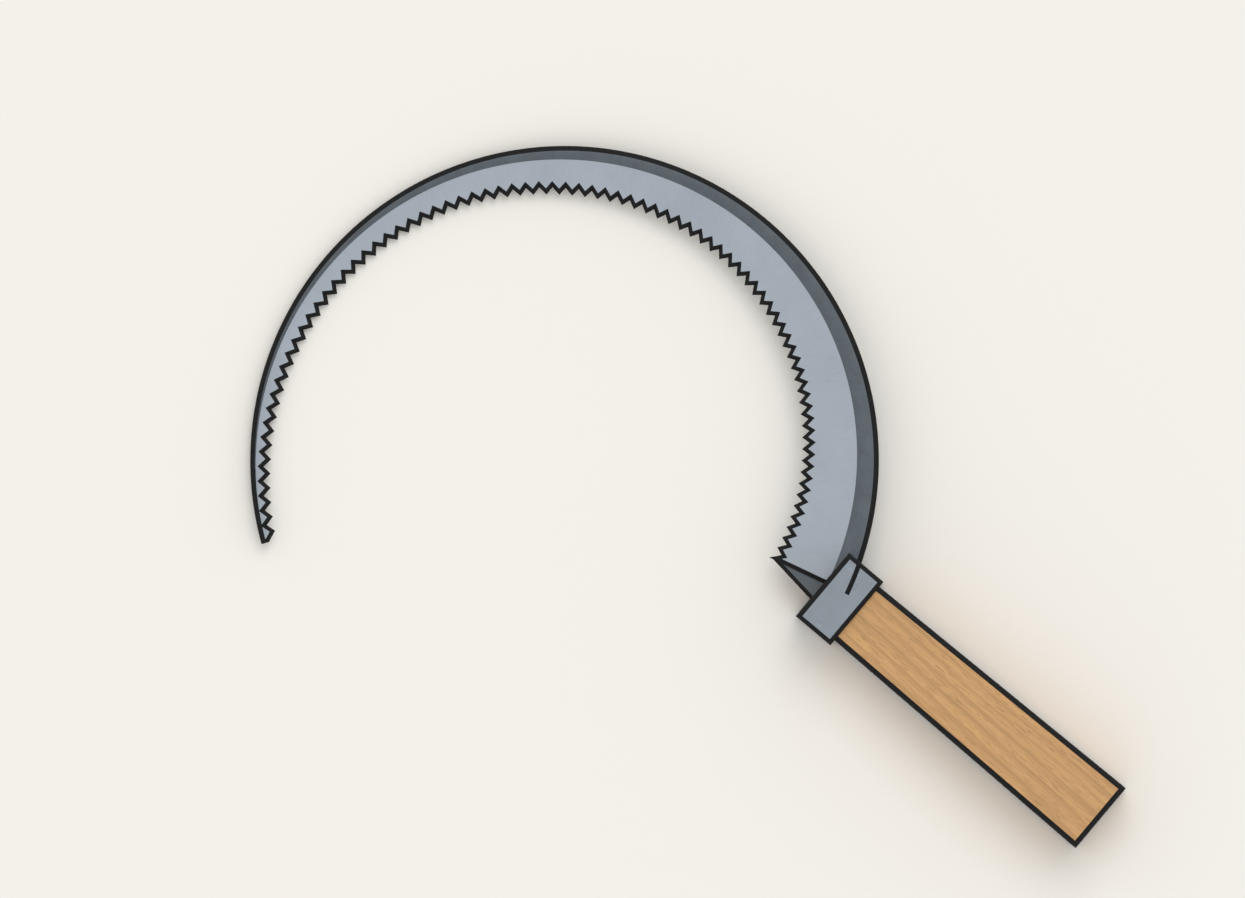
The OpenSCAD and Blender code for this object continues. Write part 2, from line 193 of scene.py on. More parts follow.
class BladePlane:
    """The plane that the blade lies in, worked out from the sizes as the frame's was."""

    def __init__(self, sizes):
        self.heel_slope = tan(sizes.heel_angle)
        self.axis_z = COLLAR_HIGH.z / 2
        self.heel_corner = Vector((COLLAR_LOW.x + sizes.heel_inset, sizes.heel_side, 0.0))
        self.centre = self.heel_corner - polar(sizes.back_radius, sizes.heel_angle)
        self.bend_x = self.heel_corner.x + sizes.bend_inset
        self.neck_top = -sizes.blade_thickness / 2
        self.neck_bottom = self.neck_top - sizes.neck_thickness
        lift = -(self.neck_top + self.neck_bottom) / 2
        far = self.bend_x - (self.centre.x - sizes.back_radius + sizes.rib_foot)
        under = lift - sizes.rib_thickness / 2
        set_down = asin(self.axis_z / hypot(far, under)) + atan2(under, far)
        self.matrix = (Matrix.Translation((self.bend_x, 0.0, self.axis_z))
                       @ Matrix.Rotation(-set_down, 4, "Y")
                       @ Matrix.Translation((-self.bend_x, 0.0, lift)))
        self.about_centre = self.matrix @ Matrix.Translation(self.centre)
        # The neck plate's fore corner, beside the rib
        fore_y = sizes.front_width / 2 - sizes.slot_gap
        fore_r = sizes.back_radius - sizes.rib_heel_width - sizes.slot_gap
        fore_x = self.centre.x + sqrt(fore_r ** 2 - (fore_y - self.centre.y) ** 2)
        self.neck_fore = Vector((fore_x, fore_y, 0.0))

    def heel_y(self, x):
        """Where the heel edge lies across the handle, at this place along it."""
        return self.heel_corner.y + (x - self.heel_corner.x) * self.heel_slope


class Formula:
    """Adds nodes to a tree, so that the sums in it read as they would on paper."""

    def __init__(self, tree):
        self.tree = tree

    def feed(self, socket, value):
        if isinstance(value, bpy.types.NodeSocket):
            self.tree.links.new(value, socket)
        elif value is not None:
            socket.default_value = value

    def node(self, kind, *values, **settings):
        made = self.tree.nodes.new(kind)
        for name, value in settings.items():
            setattr(made, name, value)
        for socket, value in zip(made.inputs, values):
            self.feed(socket, value)
        return made

    def math(self, operation, a, b=None):
        return self.node("ShaderNodeMath", a, b, operation=operation).outputs[0]

    def add(self, a, b):
        return self.math("ADD", a, b)

    def subtract(self, a, b):
        return self.math("SUBTRACT", a, b)

    def multiply(self, a, b):
        return self.math("MULTIPLY", a, b)

    def divide(self, a, b):
        return self.math("DIVIDE", a, b)

    def mix(self, a, b, share):
        return self.add(a, self.multiply(self.subtract(b, a), share))

    def ramp(self, value, low, high):
        """0 where the value is low, 1 where it is high, and a smooth step between."""
        made = self.node("ShaderNodeMapRange", value, low, high, interpolation_type="SMOOTHSTEP")
        return made.outputs[0]

    def point(self, x, y, z):
        return self.node("ShaderNodeCombineXYZ", x, y, z).outputs[0]

    def polar(self, radius, angle, z=0.0):
        x = self.multiply(radius, self.math("COSINE", angle))
        y = self.multiply(radius, self.math("SINE", angle))
        return self.point(x, y, z)

    def part(self, vector, axis):
        return self.node("ShaderNodeSeparateXYZ", vector).outputs[axis]

    def vector(self, operation, a, b=None):
        return self.node("ShaderNodeVectorMath", a, b, operation=operation).outputs[0]

    def scaled(self, vector, factor):
        made = self.node("ShaderNodeVectorMath", vector, operation="SCALE")
        self.feed(made.inputs["Scale"], factor)
        return made.outputs[0]

    def size(self, vector):
        return self.node("ShaderNodeVectorMath", vector, operation="LENGTH").outputs["Value"]

    def choose(self, test, if_false, if_true, kind="FLOAT"):
        return self.node("GeometryNodeSwitch", test, if_false, if_true,
                         input_type=kind).outputs[0]

    def pick(self, number, points):
        """The point of that number."""
        made = self.node("GeometryNodeIndexSwitch", data_type="VECTOR")
        while len(made.index_switch_items) < len(points):
            made.index_switch_items.new()
        self.feed(made.inputs[0], number)
        for socket, point in zip(made.inputs[1:], points):
            self.feed(socket, point)
        return made.outputs[0]


def new_tree(name, numbers, materials=()):
    """A geometry tree with named inputs. Gives it, its inputs' identifiers and its formula."""
    tree = bpy.data.node_groups.new(name, "GeometryNodeTree")
    identifiers = {}
    for kind, names in (("NodeSocketFloat", numbers), ("NodeSocketMaterial", materials)):
        for label in names:
            socket = tree.interface.new_socket(name=label, in_out="INPUT", socket_type=kind)
            identifiers[label] = socket.identifier
    return tree, identifiers, Formula(tree)


def add_outputs(tree, outputs):
    for label, kind in outputs:
        tree.interface.new_socket(name=label, in_out="OUTPUT", socket_type=kind)


def wrapped_grid(f, columns, rows):
    """A grid to wrap into a solid, with the column and the row of each of its corners."""
    grid = f.node("GeometryNodeMeshGrid", 1.0, 1.0, columns, rows)
    index = f.node("GeometryNodeInputIndex").outputs[0]
    column = f.math("FLOOR", f.divide(f.add(index, 0.5), rows))
    row = f.math("FLOOR", f.add(f.subtract(index, f.multiply(column, rows)), 0.5))
    return grid.outputs["Mesh"], column, row


def wrapped(f, grid, place):
    """The grid with its corners put in place and its seams closed."""
    placed = f.node("GeometryNodeSetPosition", grid)
    f.feed(placed.inputs["Position"], place)
    merged = f.node("GeometryNodeMergeByDistance", placed.outputs[0])
    f.feed(merged.inputs["Distance"], 1e-6)
    return f.node("GeometryNodeRealizeInstances", merged.outputs[0]).outputs[0]


EDGE_INPUTS = ("Teeth", "Back Radius", "Heel Angle", "Sweep", "Heel Depth", "Heel Spike",
               "Point Depth", "Tooth Depth", "Tooth Lead", "Point Length", "Point Width",
               "Hidden Radius")


def edge_point_tree():
    """The toothed edge: the place of one tip or valley, counted in steps from the heel."""
    tree, _, f = new_tree("Sickle Edge Point", ("Step",) + EDGE_INPUTS)
    add_outputs(tree, (("Point", "NodeSocketVector"), ("Angle", "NodeSocketFloat")))
    given = tree.nodes.new("NodeGroupInput").outputs
    radius = given["Back Radius"]
    end_angle = f.add(given["Heel Angle"], given["Sweep"])
    last_tip = f.subtract(end_angle, f.divide(given["Point Length"], radius))
    first_tip = f.add(given["Heel Angle"], f.divide(given["Tooth Lead"], radius))
    gaps = f.subtract(given["Teeth"], 1.0)
    pitch = f.divide(f.subtract(last_tip, first_tip), gaps)
    place = f.divide(given["Step"], 2.0)
    depth = f.mix(given["Heel Depth"], given["Point Depth"], f.divide(place, gaps))
    in_valley = f.multiply(f.math("FRACT", place), 2.0)
    tooth_r = f.add(f.subtract(radius, depth), f.multiply(given["Tooth Depth"], in_valley))
    tooth_angle = f.add(first_tip, f.multiply(place, pitch))
    heel_r = f.subtract(f.subtract(radius, given["Heel Depth"]), given["Heel Spike"])
    last_step = f.subtract(f.multiply(given["Teeth"], 2.0), 1.0)
    at_end = f.math("GREATER_THAN", given["Step"], f.subtract(last_step, 0.5))
    past_end = f.math("GREATER_THAN", given["Step"], f.add(last_step, 0.5))
    at_heel = f.math("LESS_THAN", given["Step"], 0.5)
    before = f.math("LESS_THAN", given["Step"], -0.5)
    r = f.choose(at_end, tooth_r, f.subtract(radius, given["Point Width"]))
    r = f.choose(past_end, r, given["Hidden Radius"])
    r = f.choose(at_heel, r, heel_r)
    r = f.choose(before, r, given["Hidden Radius"])
    angle = f.choose(at_end, tooth_angle, end_angle)
    angle = f.choose(at_heel, angle, given["Heel Angle"])
    f.node("NodeGroupOutput", f.polar(r, angle), angle)
    return tree


def blade_tree():
    """The serrated crescent: cross-sections of six corners, one for each tip and valley."""
    numbers = EDGE_INPUTS + ("Thickness", "Edge Thickness", "Tooth Bevel", "Heel Bevel")
    tree, identifiers, f = new_tree("Sickle Blade", numbers, ("Face", "Bevel"))
    add_outputs(tree, (("Mesh", "NodeSocketGeometry"),))
    given = tree.nodes.new("NodeGroupInput").outputs
    edge_tree = edge_point_tree()

    def edge(step):
        made = f.node("GeometryNodeGroup", node_tree=edge_tree)
        for label in EDGE_INPUTS:
            f.feed(made.inputs[label], given[label])
        f.feed(made.inputs["Step"], step)
        return made.outputs["Point"], made.outputs["Angle"]

    # A column for each step and one at either end, where the skin closes. The section's first
    # corner comes once more as its last.
    steps = f.multiply(given["Teeth"], 2.0)
    last_step = f.subtract(steps, 1.0)
    grid, column, row = wrapped_grid(f, f.add(steps, 2.0), 7)
    step = f.math("MAXIMUM", f.math("MINIMUM", f.subtract(column, 1.0), last_step), 0.0)

    here, angle = edge(step)
    along_in = f.vector("NORMALIZE", f.vector("SUBTRACT", here, edge(f.subtract(step, 1.0))[0]))
    along_out = f.vector("NORMALIZE", f.vector("SUBTRACT", edge(f.add(step, 1.0))[0], here))
    at_start = f.math("LESS_THAN", step, 0.5)
    at_end = f.math("GREATER_THAN", step, f.subtract(last_step, 0.5))
    width_in = f.choose(at_start, given["Tooth Bevel"], given["Heel Bevel"])
    bend = f.part(f.vector("CROSS_PRODUCT", along_in, along_out), 2)
    shift = f.vector("SUBTRACT", f.scaled(along_in, given["Tooth Bevel"]),
                     f.scaled(along_out, width_in))
    inner = f.vector("ADD", here, f.scaled(shift, f.divide(1.0, bend)))

    hidden = given["Hidden Radius"]
    eased = f.add(angle, f.choose(at_start, 0.0, f.divide(given["Heel Bevel"], hidden)))
    eased = f.subtract(eased, f.choose(at_end, 0.0, f.divide(given["Tooth Bevel"], hidden)))
    top = f.divide(given["Thickness"], 2.0)
    low = f.multiply(top, -1.0)
    middle = f.add(low, given["Edge Thickness"])

    def raised(point, z):
        return f.vector("ADD", point, f.point(0.0, 0.0, z))

    back = f.polar(hidden, angle)
    section = f.pick(row, (
        raised(back, low), raised(here, low), raised(here, middle), raised(inner, top),
        f.polar(hidden, eased, top), raised(back, middle), raised(back, low)))
    closing = raised(f.scaled(f.vector("ADD", back, here), 0.5), middle)
    from_middle = f.subtract(f.subtract(column, 1.0), f.divide(last_step, 2.0))
    closes = f.math("GREATER_THAN", f.math("ABSOLUTE", from_middle),
                    f.add(f.divide(last_step, 2.0), 0.5))
    whole = wrapped(f, grid, f.choose(closes, section, closing, "VECTOR"))

    faced = f.node("GeometryNodeSetMaterial", whole, None, given["Face"])
    # Painted shade: every face that slopes, the bevels and the edges, takes the black finish
    normal = f.node("GeometryNodeInputNormal").outputs[0]
    sloping = f.math("LESS_THAN", f.math("ABSOLUTE", f.part(normal, 2)), 0.98)
    edged = f.node("GeometryNodeSetMaterial", faced.outputs[0], sloping, given["Bevel"])
    f.node("NodeGroupOutput", edged.outputs[0])
    return tree, identifiers


RIB_COLUMNS = 240
# The least of the rib's width that is slope, and the most that is rounding, near the point
SLOPE_SHARE = 0.15
RIM_SHARE = 0.8


def rib_tree():
    """The back rib: one grooved cross-section, carried round the arc as it narrows."""
    numbers = ("Back Radius", "Heel Angle", "Sweep", "Even Angle", "Heel Width", "Point Width",
               "Thickness", "Web", "Slope", "Rim Width", "Rim Height", "Groove")
    tree, identifiers, f = new_tree("Sickle Rib", numbers, ("Band", "Rim"))
    add_outputs(tree, (("Mesh", "NodeSocketGeometry"),))
    given = tree.nodes.new("NodeGroupInput").outputs
    radius = given["Back Radius"]
    half = f.divide(given["Thickness"], 2.0)
    groove = f.divide(given["Groove"], 2.0)

    # Above and below lie a rounding and a slope's two ends, and three corners close the groove
    rows = 2 * (EDGE_STEPS + 1) + 2 * 2 + 3
    grid, column, row = wrapped_grid(f, RIB_COLUMNS, rows)
    turned_by = f.multiply(given["Sweep"], f.divide(column, RIB_COLUMNS - 1.0))
    angle = f.add(given["Heel Angle"], turned_by)
    share = f.divide(turned_by, f.subtract(given["Sweep"], given["Even Angle"]))
    width = f.mix(given["Heel Width"], given["Point Width"], f.math("MINIMUM", share, 1.0))
    rim = f.math("MINIMUM", given["Rim Width"], f.multiply(width, RIM_SHARE))
    beside_rim = f.subtract(width, given["Rim Width"])
    slope = f.math("MAXIMUM", beside_rim, f.multiply(width, SLOPE_SHARE))
    slope = f.math("MINIMUM", given["Slope"], slope)

    def rim_corner(k, side):
        rounded_by = pi / 2 * k / EDGE_STEPS
        in_by = f.multiply(rim, 1 - sin(rounded_by))
        down_by = f.multiply(given["Rim Height"], 1 - cos(rounded_by))
        return f.subtract(radius, in_by), f.multiply(f.subtract(half, down_by), side)

    inner = f.subtract(radius, width)
    shoulder = f.add(inner, slope)
    web = f.subtract(radius, given["Web"])
    under = f.multiply(groove, -1.0)
    corners = [(inner, groove), (shoulder, half)]
    corners += [rim_corner(k, 1.0) for k in range(EDGE_STEPS + 1)]
    corners += [rim_corner(k, -1.0) for k in range(EDGE_STEPS, -1, -1)]
    corners += [(shoulder, f.multiply(half, -1.0)), (inner, under)]
    corners += [(web, under), (web, groove), (inner, groove)]
    section = f.pick(row, [f.point(r, 0.0, z) for r, z in corners])
    whole = wrapped(f, grid, f.polar(f.part(section, 0), angle, f.part(section, 2)))

    banded = f.node("GeometryNodeSetMaterial", whole, None, given["Band"])
    # Painted shade: the rounding along the rib's outer edge takes the black finish
    place = f.node("GeometryNodeInputPosition").outputs[0]
    flat = f.vector("MULTIPLY", place, (1.0, 1.0, 0.0))
    outside = f.math("GREATER_THAN", f.size(flat), f.subtract(radius, given["Rim Width"]))
    rimmed = f.node("GeometryNodeSetMaterial", banded.outputs[0], outside, given["Rim"])
    f.node("NodeGroupOutput", rimmed.outputs[0])
    return tree, identifiers


def made_by_nodes(name, tree, identifiers, values):
    """Runs a geometry tree with these inputs and keeps its result as a plain mesh."""
    holder = bpy.data.objects.new("making", bpy.data.meshes.new("making"))
    bpy.context.scene.collection.objects.link(holder)
    modifier = holder.modifiers.new("Making", "NODES")
    modifier.node_group = tree
    for label, value in values.items():
        modifier[identifiers[label]] = value
    holder.update_tag()
    depsgraph = bpy.context.evaluated_depsgraph_get()
    mesh = bpy.data.meshes.new_from_object(holder.evaluated_get(depsgraph))
    mesh.name = name
    bpy.data.objects.remove(holder)
    outwards(mesh)
    return mesh


def material(name, base, roughness, metallic, gloss):
    """A material with its shader set. Gives it, its formula and the shader."""
    made = bpy.data.materials.new(name)
    made.use_nodes = True
    shader = made.node_tree.nodes["Principled BSDF"]
    shader.inputs["Base Color"].default_value = linear(base)
    shader.inputs["Roughness"].default_value = roughness
    shader.inputs["Metallic"].default_value = metallic
    shader.inputs["Specular IOR Level"].default_value = gloss
    return made, Formula(made.node_tree), shader


def object_place(f, offset=(0.0, 0.0, 0.0), scale=(1.0, 1.0, 1.0)):
    """The place on the object, moved and stretched for a pattern."""
    coordinates = f.node("ShaderNodeTexCoord").outputs["Object"]
    return f.node("ShaderNodeMapping", coordinates, offset, None, scale).outputs[0]


def noise(f, place, scale, detail=3.0, roughness=0.5):
    made = f.node("ShaderNodeTexNoise")
    f.feed(made.inputs["Vector"], place)
    f.feed(made.inputs["Scale"], scale)
    f.feed(made.inputs["Detail"], detail)
    f.feed(made.inputs["Roughness"], roughness)
    return made.outputs[0]


def shaded(f, base, value, spread):
    """The base colour, made a little lighter and darker by a value that is 0.5 on average."""
    ramp = f.node("ShaderNodeValToRGB")
    f.feed(ramp.inputs[0], value)
    dark, light = ramp.color_ramp.elements
    dark.position, light.position = 0.25, 0.75
    dark.color = linear([c * (1 - spread) for c in base])
    light.color = linear([min(1.0, c * (1 + spread)) for c in base])
    return ramp.outputs[0]


def relief(f, shader, *layers):
    """Surface relief from patterns, each with its height in millimetres."""
    total = 0.0
    for pattern, height in layers:
        total = f.add(f.multiply(pattern, height * MM), total)
    made = f.node("ShaderNodeBump")
    f.feed(made.inputs["Strength"], 1.0)
    f.feed(made.inputs["Distance"], 1.0)
    f.feed(made.inputs["Height"], total)
    f.feed(shader.inputs["Normal"], made.outputs[0])


def ground_steel(name, plane, base):
    """The blade's ground face: fine scratches that cross it from back to teeth."""
    made, f, shader = material(name, base, 0.42, 0.5, 0.3)
    # The angle is counted from the open side of the hook, where its jump meets no steel
    place = object_place(f, offset=-plane.centre)
    spun = f.node("ShaderNodeVectorRotate", rotation_type="Z_AXIS")
    f.feed(spun.inputs["Vector"], place)
    f.feed(spun.inputs["Angle"], radians(-125.0))
    around = spun.outputs[0]
    angle = f.math("ARCTAN2", f.part(around, 1), f.part(around, 0))
    across = f.point(f.multiply(angle, 540.0), f.multiply(f.size(around), 160.0), 0.0)
    scratches = noise(f, across, 1.0, 4.0, 0.6)
    deep = f.ramp(noise(f, f.scaled(across, 0.7), 1.0, 1.0), 0.66, 0.74)
    clouds = noise(f, place, 40.0, 3.0)
    value = f.subtract(f.mix(scratches, clouds, 0.45), f.multiply(deep, 0.25))
    f.feed(shader.inputs["Base Color"], shaded(f, base, value, 0.06))
    f.feed(shader.inputs["Roughness"], f.mix(0.34, 0.5, scratches))
    relief(f, shader, (scratches, 0.012), (deep, -0.01))
    return made


def forged_iron(name, base, hammer_height):
    """Iron as it left the hammer: shallow dents, soft mottling and fine pits."""
    made, f, shader = material(name, base, 0.55, 0.4, 0.3)
    place = object_place(f)
    dents = noise(f, place, 120.0, 0.0)
    mottle = noise(f, place, 420.0, 4.0, 0.55)
    pits = f.ramp(noise(f, place, 1500.0, 1.0), 0.6, 0.72)
    value = f.subtract(f.mix(mottle, dents, 0.35), f.multiply(pits, 0.2))
    f.feed(shader.inputs["Base Color"], shaded(f, base, value, 0.07))
    f.feed(shader.inputs["Roughness"], f.mix(0.46, 0.66, mottle))
    relief(f, shader, (dents, hammer_height), (mottle, 0.03), (pits, -0.025))
    return made


def satin_steel(name, base):
    """The collar's steel, rubbed across the handle and dented a little by use."""
    made, f, shader = material(name, base, 0.42, 0.5, 0.3)
    strokes = noise(f, object_place(f, scale=(1500.0, 60.0, 60.0)), 1.0, 4.0, 0.6)
    clouds = noise(f, object_place(f), 90.0, 3.0)
    dents = f.ramp(noise(f, object_place(f), 260.0, 0.0), 0.66, 0.8)
    f.feed(shader.inputs["Base Color"], shaded(f, base, f.mix(strokes, clouds, 0.5), 0.06))
    f.feed(shader.inputs["Roughness"], f.mix(0.34, 0.5, strokes))
    relief(f, shader, (strokes, 0.01), (clouds, 0.06), (dents, -0.08))
    return made


def black_edge(name, base):
    """Edges blackened by scale and handling, and painted shade on the bevels, roundings and
    hollows that this finish covers.
    """
    made, f, shader = material(name, base, 0.6, 0.0, 0.08)
    grain = noise(f, object_place(f), 900.0, 3.0)
    f.feed(shader.inputs["Base Color"], shaded(f, base, grain, 0.15))
    f.feed(shader.inputs["Roughness"], f.mix(0.5, 0.7, grain))
    relief(f, shader, (grain, 0.03))
    return made


def worked_wood(name, base, ring_width, spread):
    """Straight-grained wood: yearly rings about a line beside the handle, fibres and pores."""
    made, f, shader = material(name, base, 0.55, 0.0, 0.2)
    drift = noise(f, object_place(f, scale=(6.0, 30.0, 30.0)), 1.0, 2.0)
    pith = f.vector("MULTIPLY", object_place(f, offset=(0.0, 0.031, 0.018)), (0.03, 1.0, 1.0))
    ring = f.add(f.divide(f.size(pith), ring_width * MM), f.multiply(drift, 2.5))
    grown = f.math("FRACT", ring)
    late = f.multiply(f.ramp(grown, 0.35, 0.93), f.ramp(grown, 1.0, 0.93))
    fibre = noise(f, object_place(f, scale=(40.0, 1300.0, 1300.0)), 1.0, 3.0, 0.6)
    streak = noise(f, object_place(f, scale=(9.0, 260.0, 260.0)), 1.0, 2.0)
    pores = f.ramp(noise(f, object_place(f, scale=(190.0, 3600.0, 3600.0)), 1.0, 0.0), 0.66, 0.74)
    pores = f.multiply(pores, f.mix(1.0, 0.35, late))
    value = f.add(f.mix(fibre, streak, 0.5), f.multiply(f.subtract(0.35, late), 0.22))
    value = f.subtract(value, f.multiply(pores, 0.5))
    f.feed(shader.inputs["Base Color"], shaded(f, base, value, spread))
    f.feed(shader.inputs["Roughness"], f.mix(0.46, 0.64, fibre))
    relief(f, shader, (fibre, 0.02), (late, 0.02), (pores, -0.05))
    return made


def pale_floor(name, base):
    """A pale, even floor without gloss."""
    return material(name, base, 0.9, 0.0, 0.0)


def finish(key):
    """The material for that finish, made the first time it is asked for."""
    name = "sickle_" + key
    if name not in bpy.data.materials:
        scene = bpy.context.scene
        colours = scene.sickle_colours
        plane = BladePlane(scene.sickle_sizes)
        makers = {
            "ground_steel": lambda: ground_steel(name, plane, colours.ground_steel),
            "dark_iron": lambda: forged_iron(name, colours.dark_iron, 0.6),
            "collar_steel": lambda: satin_steel(name, colours.collar_steel),
            "pin_steel": lambda: forged_iron(name, colours.collar_steel, 0.2),
            "black_edge": lambda: black_edge(name, colours.black_edge),
            "handle_wood": lambda: worked_wood(name, colours.wood, 2.6, 0.09),
            "split_wood": lambda: worked_wood(name, colours.split_wood, 1.6, 0.14),
            "floor": lambda: pale_floor(name, colours.floor),
        }
        makers[key]()
    return bpy.data.materials[name]


def as_object(name, mesh, *finishes):
    """A piece at the origin with that mesh and those finishes."""
    for key in finishes:
        mesh.materials.append(finish(key))
    made = bpy.data.objects.new(name, mesh)
    bpy.context.scene.collection.objects.link(made)
    return made


def mesh_of(name, corners, faces, shades=None):
    mesh = bpy.data.meshes.new(name)
    mesh.from_pydata([tuple(c) for c in corners], [], faces)
    if shades is not None:
        mesh.polygons.foreach_set("material_index", shades)
    mesh.validate()
    return mesh


def smoothed(mesh, angle=32.0):
    """Rounds the shading of a mesh, but not over sharp edges or from one material to another,
    and drops the slivers that cutting has left."""
    mesh.shade_smooth()
    mesh.set_sharp_from_angle(angle=radians(angle))
    bm = bmesh.new()
    bm.from_mesh(mesh)
    bmesh.ops.dissolve_degenerate(bm, dist=2e-6, edges=bm.edges)
    for edge in bm.edges:
        if len({face.material_index for face in edge.link_faces}) > 1:
            edge.smooth = False
    bm.to_mesh(mesh)
    bm.free()


def outwards(mesh):
    """Merges what coincides, closes open ends and turns every face outwards."""
    bm = bmesh.new()
    bm.from_mesh(mesh)
    bmesh.ops.remove_doubles(bm, verts=bm.verts, dist=1e-7)
    open_edges = [e for e in bm.edges if e.is_boundary]
    if open_edges:
        bmesh.ops.holes_fill(bm, edges=open_edges, sides=0)
    bmesh.ops.recalc_face_normals(bm, faces=bm.faces)
    if bm.calc_volume(signed=True) < 0:
        bmesh.ops.reverse_faces(bm, faces=bm.faces)
    bm.to_mesh(mesh)
    bm.free()


def prism(name, outline, low, high, matrix=Matrix()):
    """A straight solid over a plan outline, then moved by the matrix."""
    n = len(outline)
    corners = [Vector((p[0], p[1], z)) for z in (low, high) for p in outline]
    faces = [list(range(n - 1, -1, -1)), list(range(n, 2 * n))]
    faces += [[i, (i + 1) % n, n + (i + 1) % n, n + i] for i in range(n)]
    mesh = mesh_of(name, corners, faces)
    outwards(mesh)
    mesh.transform(matrix)
    return mesh


def skin(name, rings, shades=lambda ring, corner: 0):
    """A closed solid through rings of as many corners each. shades(ring, corner) says which
    material the face after that corner takes; the ends take material 0."""
    n = len(rings[0])
    corners = [c for ring in rings for c in ring]
    faces = [list(range(n))[::-1], [len(corners) - n + i for i in range(n)]]
    marks = [0, 0]
    for k in range(len(rings) - 1):
        for i in range(n):
            a, b = k * n + i, k * n + (i + 1) % n
            faces.append([a, b, b + n, a + n])
            marks.append(shades(k, i))
    mesh = mesh_of(name, corners, faces, marks)
    outwards(mesh)
    return mesh


def turned(name, stations, matrix, sides=40, uneven=0.0):
    """A round solid about the matrix's X axis, through stations of (distance, radius)."""
    rings = []
    for x, radius in stations:
        ring = []
        for i in range(sides):
            out = Vector((0.0, cos(2 * pi * i / sides), sin(2 * pi * i / sides)))
            seed = out * 1.7 + Vector((x / MM, 0.0, 0.0))
            ring.append(matrix @ (Vector((x, 0.0, 0.0))
                                  + out * radius * (1 - uneven + uneven * unevenness(seed))))
        rings.append(ring)
    return skin(name, rings)


def combined(target, mesh, operation, key=None):
    """Joins a solid to the target's, or cuts it away, and applies the result."""
    if key:
        mesh.materials.append(finish(key))
    tool = bpy.data.objects.new("tool", mesh)
    bpy.context.scene.collection.objects.link(tool)
    modifier = target.modifiers.new("Combine", "BOOLEAN")
    modifier.operation = operation
    modifier.solver = "EXACT"
    modifier.material_mode = "TRANSFER"
    modifier.object = tool
    depsgraph = bpy.context.evaluated_depsgraph_get()
    result = bpy.data.meshes.new_from_object(target.evaluated_get(depsgraph))
    target.modifiers.remove(modifier)
    target.data = result
    bpy.data.objects.remove(tool)


def rounded_rectangle(width, thickness, radius):
    """Corners of a rectangle across the handle, with its own corners rounded."""
    corners = []
    for quarter, (sy, sz) in enumerate(((1, 1), (-1, 1), (-1, -1), (1, -1))):
        middle = (sy * (width / 2 - radius), sz * (thickness / 2 - radius))
        for k in range(EDGE_STEPS + 1):
            a = pi / 2 * (quarter + k / EDGE_STEPS)
            corners.append((middle[0] + radius * cos(a), middle[1] + radius * sin(a)))
    return corners


def across_handle(x, outline, axis_z):
    return [(x, y, axis_z + z) for y, z in outline]


def on_rounded_corner(corner):
    """Whether the face after that corner of a rounded rectangle is part of a rounding."""
    return corner % (EDGE_STEPS + 1) != EDGE_STEPS


def along_rounding(edge):
    """How far along and how far down each line of a rounded end lies, from its face on."""
    turns = [pi / 2 * k / EDGE_STEPS for k in range(EDGE_STEPS + 1)]
    return [(edge * (1 - cos(a)), edge * (1 - sin(a))) for a in turns]


def plate_corner(before, at, after, inset_in, inset_out):
    """Where two sides of an outline meet once each has moved in by its own distance."""
    along_in = (at - before).normalized()
    along_out = (after - at).normalized()
    bend = along_in.cross(along_out).z
    return at + (along_out * inset_in - along_in * inset_out) / bend


def pin_holes(sizes, axis_z):
    """The holes for the collar's two pins, widened for their sunk heads."""
    shank = sizes.pin_diameter / 2 + sizes.pin_gap
    head = (PINS_HIGH.x - PINS_LOW.x) / 2 + sizes.pin_gap
    pin_x = (PINS_HIGH.x + PINS_LOW.x) / 2
    stations = [(-CUT_OVER, head), (0.0, head), (head - shank, shank),
                (sizes.pin_length + sizes.pin_gap, shank)]
    for side in (-1, 1):
        inwards = (Matrix.Translation((pin_x, side * PINS_HIGH.y, axis_z))
                   @ Matrix.Rotation(-side * pi / 2, 4, "Z"))
        yield turned("pin_hole", stations, inwards)


class SickleOperator:
    """What every operator of the sickle shares"""

    bl_options = {"REGISTER", "UNDO"}

    def ready(self, context):
        self.sizes = context.scene.sickle_sizes
        self.plane = BladePlane(self.sizes)
        self.on_axis = Matrix.Translation((0.0, 0.0, self.plane.axis_z))
        return self.sizes, self.plane

    def hand_over(self, piece, slot, *nodes):
        """Fixes a finished piece to the frame in place of its nodes."""
        if not piece.data.polygons:
            raise RuntimeError(f"{piece.name} came out empty")
        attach(piece, BODY)
        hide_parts(*nodes)


class SICKLE_OT_blade(SickleOperator, bpy.types.Operator):
    """Make the serrated crescent of ground steel"""

    bl_idname = "sickle.blade"
    bl_label = "Make Blade"

    def execute(self, context):
        sizes, plane = self.ready(context)
        tree, identifiers = blade_tree()
        mesh = made_by_nodes("sickle_blade", tree, identifiers, {
            "Teeth": float(sizes.teeth),
            "Back Radius": sizes.back_radius,
            "Heel Angle": sizes.heel_angle,
            "Sweep": sizes.sweep,
            "Heel Depth": sizes.heel_depth,
            "Heel Spike": sizes.heel_spike,
            "Point Depth": sizes.point_depth,
            "Tooth Depth": sizes.tooth_depth,
            "Tooth Lead": sizes.tooth_lead,
            "Point Length": sizes.point_length,
            "Point Width": sizes.point_width,
            "Hidden Radius": sizes.back_radius - sizes.rib_web - sizes.groove_gap,
            "Thickness": sizes.blade_thickness,
            "Edge Thickness": sizes.edge_thickness,
            "Tooth Bevel": sizes.tooth_bevel,
            "Heel Bevel": sizes.heel_bevel,
            "Face": finish("ground_steel"),
            "Bevel": finish("black_edge"),
        })
        mesh.transform(plane.about_centre)
        self.hand_over(as_object("sickle_blade", mesh), "ground_steel", "blade")
        return {"FINISHED"}


